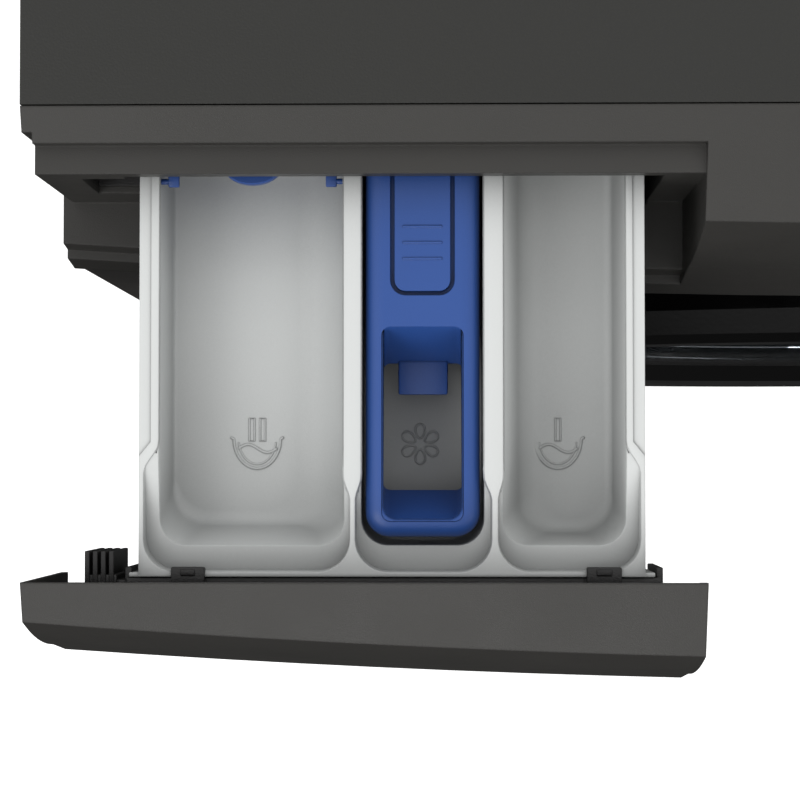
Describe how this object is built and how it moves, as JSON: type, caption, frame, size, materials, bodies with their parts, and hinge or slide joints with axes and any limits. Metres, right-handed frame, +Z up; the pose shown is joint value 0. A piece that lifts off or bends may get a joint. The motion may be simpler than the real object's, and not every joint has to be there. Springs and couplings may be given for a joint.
{
  "type": "front load washing machine",
  "caption": "Dark grey front load washing machine with a round glass door and a bowed fascia, its three-compartment detergent drawer pulled out at the top left.",
  "frame": {"origin": "on the floor under the middle of the machine's box, the drawer out as at rest", "axes": "+Z up from the floor; the front faces -Y; +X to the machine's right as seen from the front"},
  "size_m": [0.598, 0.7174, 0.848],
  "materials": {
    "anthracite_paint": "satin, fine orange peel",
    "anthracite_worktop": "satin laminate",
    "anthracite_plastic": "satin moulded plastic",
    "black_plastic": "satin moulded plastic",
    "gloss_black": "polished",
    "light_grey_plastic": "fine spark texture",
    "blue_plastic": "satin moulded plastic",
    "chrome_trim": "polished",
    "galvanised_steel": "galvanised",
    "stainless_steel": "brushed",
    "cast_aluminium": "as cast",
    "grey_rubber": "matt",
    "black_rubber": "matt",
    "door_glass": "polished",
    "smoked_window": "polished",
    "tub_plastic": "glass-filled, matt",
    "white_plastic": "satin",
    "concrete": "rough cast",
    "circuit_green": "solder mask",
    "zinc_fastener": "zinc plated"
  },
  "bodies": {
    "cabinet": {"base_tray": "black_plastic", "control_board": "circuit_green", "counterweights": "concrete", "damper_cylinders": "black_plastic", "damper_rods": "stainless_steel", "dispenser_housing": "black_plastic", "display_window": "smoked_window", "door_gasket": "grey_rubber", "door_lock": "white_plastic", "drain_outlet": "white_plastic", "drain_pump": "black_plastic", "drive_belt": "black_rubber", "fascia": "anthracite_plastic", "fixing_screws": "zinc_fastener", "flap_pin": "zinc_fastener", "front_panel": "anthracite_paint", "gasket_clamp": "stainless_steel", "heater": "stainless_steel", "hinge_bracket": "black_plastic", "hinge_pin": "zinc_fastener", "inlet_valve": "white_plastic", "left_side_panel": "anthracite_paint", "motor": "cast_aluminium", "power_inlet": "black_plastic", "rear_panel": "galvanised_steel", "right_side_panel": "anthracite_paint", "shaft_bearings": "zinc_fastener", "shaft_seal": "black_rubber", "suspension_springs": "zinc_fastener", "transport_bolt_caps": "black_plastic", "tub_front": "tub_plastic", "tub_rear": "tub_plastic", "worktop": "anthracite_worktop"},
    "drawer": {"drawer_front": "anthracite_plastic", "drawer_carrier": "black_plastic", "drawer_bin": "light_grey_plastic"},
    "softener_lid": {"softener_insert": "blue_plastic"},
    "dosing_flap": {"liquid_flap": "blue_plastic"},
    "door": {"door_ring": "gloss_black", "door_back_ring": "black_plastic", "door_glass": "door_glass", "door_latch_hook": "zinc_fastener", "hinge_arm": "cast_aluminium"},
    "knob": {"program_knob": "black_plastic"},
    "power_key": {"power_button": "chrome_trim"},
    "temperature_key": {"temperature_button": "chrome_trim"},
    "spin_speed_key": {"spin_speed_button": "chrome_trim"},
    "start_key": {"start_button": "chrome_trim"},
    "drum": {"drum_shell": "stainless_steel", "drum_paddles": "white_plastic", "drum_spider": "cast_aluminium", "drum_shaft": "stainless_steel", "drum_pulley": "cast_aluminium"},
    "motor_shaft": {"motor_rotor": "zinc_fastener"},
    "flap": {"service_flap": "anthracite_paint"},
    "filter": {"filter_cap": "white_plastic"},
    "foot_fl": {"foot_front_left": "black_rubber"},
    "foot_fr": {"foot_front_right": "black_rubber"},
    "foot_rl": {"foot_rear_left": "black_rubber"},
    "foot_rr": {"foot_rear_right": "black_rubber"}
  },
  "joints": [
    {"name": "drawer_slide", "type": "slide", "parent": "cabinet", "child": "drawer", "axis": [0, -1, 0], "range_m": [-0.132, 0.06]},
    {"name": "softener_lid_lift", "type": "slide", "parent": "drawer", "child": "softener_lid", "axis": [0, 0, 1], "range_m": [0, 0.002]},
    {"name": "dosing_flap_hinge", "type": "hinge", "parent": "drawer", "child": "dosing_flap", "pos_m": [-0.23085, -0.2, 0.824], "axis": [1, 0, 0], "range_deg": [0, 85]},
    {"name": "door_hinge", "type": "hinge", "parent": "cabinet", "child": "door", "pos_m": [-0.252, -0.236, 0.455], "axis": [0, 0, -1], "range_deg": [0, 110]},
    {"name": "knob_turn", "type": "hinge", "parent": "cabinet", "child": "knob", "pos_m": [0.02, -0.23, 0.79], "axis": [0, -1, 0], "continuous": true},
    {"name": "power_press", "type": "slide", "parent": "cabinet", "child": "power_key", "axis": [0, 1, 0], "range_m": [0, 0.0015], "stiffness_N_per_m": 400},
    {"name": "temperature_press", "type": "slide", "parent": "cabinet", "child": "temperature_key", "axis": [0, 1, 0], "range_m": [0, 0.0015], "stiffness_N_per_m": 400},
    {"name": "spin_speed_press", "type": "slide", "parent": "cabinet", "child": "spin_speed_key", "axis": [0, 1, 0], "range_m": [0, 0.0015], "stiffness_N_per_m": 400},
    {"name": "start_press", "type": "slide", "parent": "cabinet", "child": "start_key", "axis": [0, 1, 0], "range_m": [0, 0.0015], "stiffness_N_per_m": 400},
    {"name": "drum_spin", "type": "hinge", "parent": "cabinet", "child": "drum", "pos_m": [0, 0, 0.455], "axis": [0, -1, 0], "continuous": true},
    {"name": "motor_spin", "type": "hinge", "parent": "cabinet", "child": "motor_shaft", "pos_m": [0, 0.24, 0.12], "axis": [0, -1, 0], "continuous": true},
    {"name": "service_flap_hinge", "type": "hinge", "parent": "cabinet", "child": "flap", "pos_m": [0.21, -0.215, 0.029], "axis": [1, 0, 0], "range_deg": [0, 95]},
    {"name": "filter_turn", "type": "hinge", "parent": "cabinet", "child": "filter", "pos_m": [0.21, -0.2, 0.064], "axis": [0, -1, 0], "range_deg": [0, 90]},
    {"name": "foot_fl_turn", "type": "hinge", "parent": "cabinet", "child": "foot_fl", "pos_m": [-0.262, -0.18, 0.02], "axis": [0, 0, 1], "continuous": true},
    {"name": "foot_fr_turn", "type": "hinge", "parent": "cabinet", "child": "foot_fr", "pos_m": [0.262, -0.18, 0.02], "axis": [0, 0, 1], "continuous": true},
    {"name": "foot_rl_turn", "type": "hinge", "parent": "cabinet", "child": "foot_rl", "pos_m": [-0.262, 0.31, 0.02], "axis": [0, 0, 1], "continuous": true},
    {"name": "foot_rr_turn", "type": "hinge", "parent": "cabinet", "child": "foot_rr", "pos_m": [0.262, 0.31, 0.02], "axis": [0, 0, 1], "continuous": true}
  ],
  "couplings": [
    {"joint": "motor_spin", "follows": "drum_spin", "ratio": 14}
  ]
}
